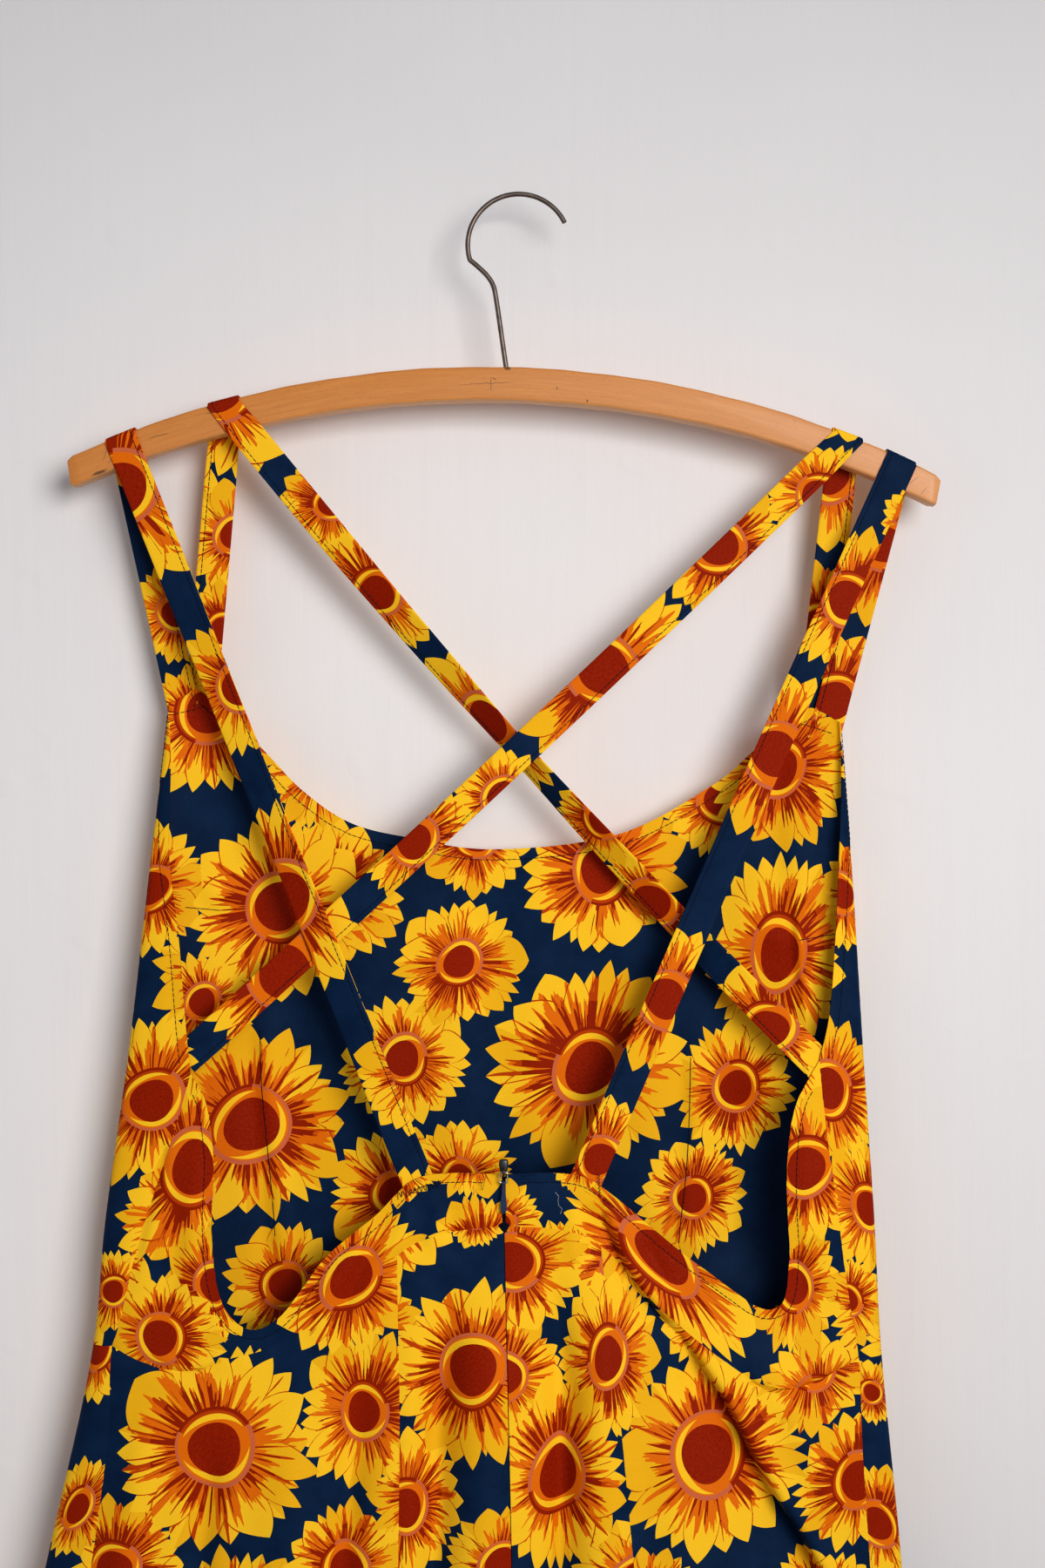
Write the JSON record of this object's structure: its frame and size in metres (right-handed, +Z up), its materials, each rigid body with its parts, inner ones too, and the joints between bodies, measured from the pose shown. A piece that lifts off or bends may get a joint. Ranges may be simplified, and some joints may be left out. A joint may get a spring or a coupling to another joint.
{
  "type": "pinafore dress on hanger",
  "caption": "Sleeveless A-line pinafore dress with crossed straps and a low open back, hung on a curved wooden hanger with a wire hook.",
  "frame": {"origin": "inside top of the hanger's hook, where it rests on a nail", "axes": "+Z up, +X towards the hook's open tip, -Y out of the open back of the dress, +Y out of its front towards the wall"},
  "size_m": [0.5787, 0.0781, 1.2135],
  "materials": {
    "dress_cloth": "smooth satin-faced viscose, navy with yellow and orange sunflowers",
    "strap_cloth": "the same printed viscose, folded and edge stitched",
    "zip_cloth": "woven polyester tape",
    "slider_metal": "dark enamel",
    "loop_metal": "plain wire",
    "tab_enamel": "glossy navy enamel",
    "hanger_wood": "worn clear varnish on honey-coloured hardwood",
    "hook_steel": "dull browned steel wire"
  },
  "bodies": {
    "dress_on_hanger": {"bodice_front": "dress_cloth", "back_band_left": "dress_cloth", "back_band_right": "dress_cloth", "skirt_front": "dress_cloth", "skirt_back_side_left": "dress_cloth", "skirt_back_centre_left": "dress_cloth", "skirt_back_centre_right": "dress_cloth", "skirt_back_side_right": "dress_cloth", "strap_outer_left": "strap_cloth", "strap_inner_left": "strap_cloth", "strap_inner_right": "strap_cloth", "strap_outer_right": "strap_cloth", "zip_tape": "zip_cloth", "zip_slider": "slider_metal", "hanger_bar": "hanger_wood", "hanger_hook": "hook_steel"},
    "pull_tab": {"zip_pull_loop": "loop_metal", "zip_pull_tab": "tab_enamel"}
  },
  "joints": [
    {"name": "pull_tab_swing", "type": "hinge", "parent": "dress_on_hanger", "child": "pull_tab", "pos_m": [-0.0084, -0.0229, -0.4852], "axis": [-1, 0, 0], "range_deg": [0, 150]}
  ]
}
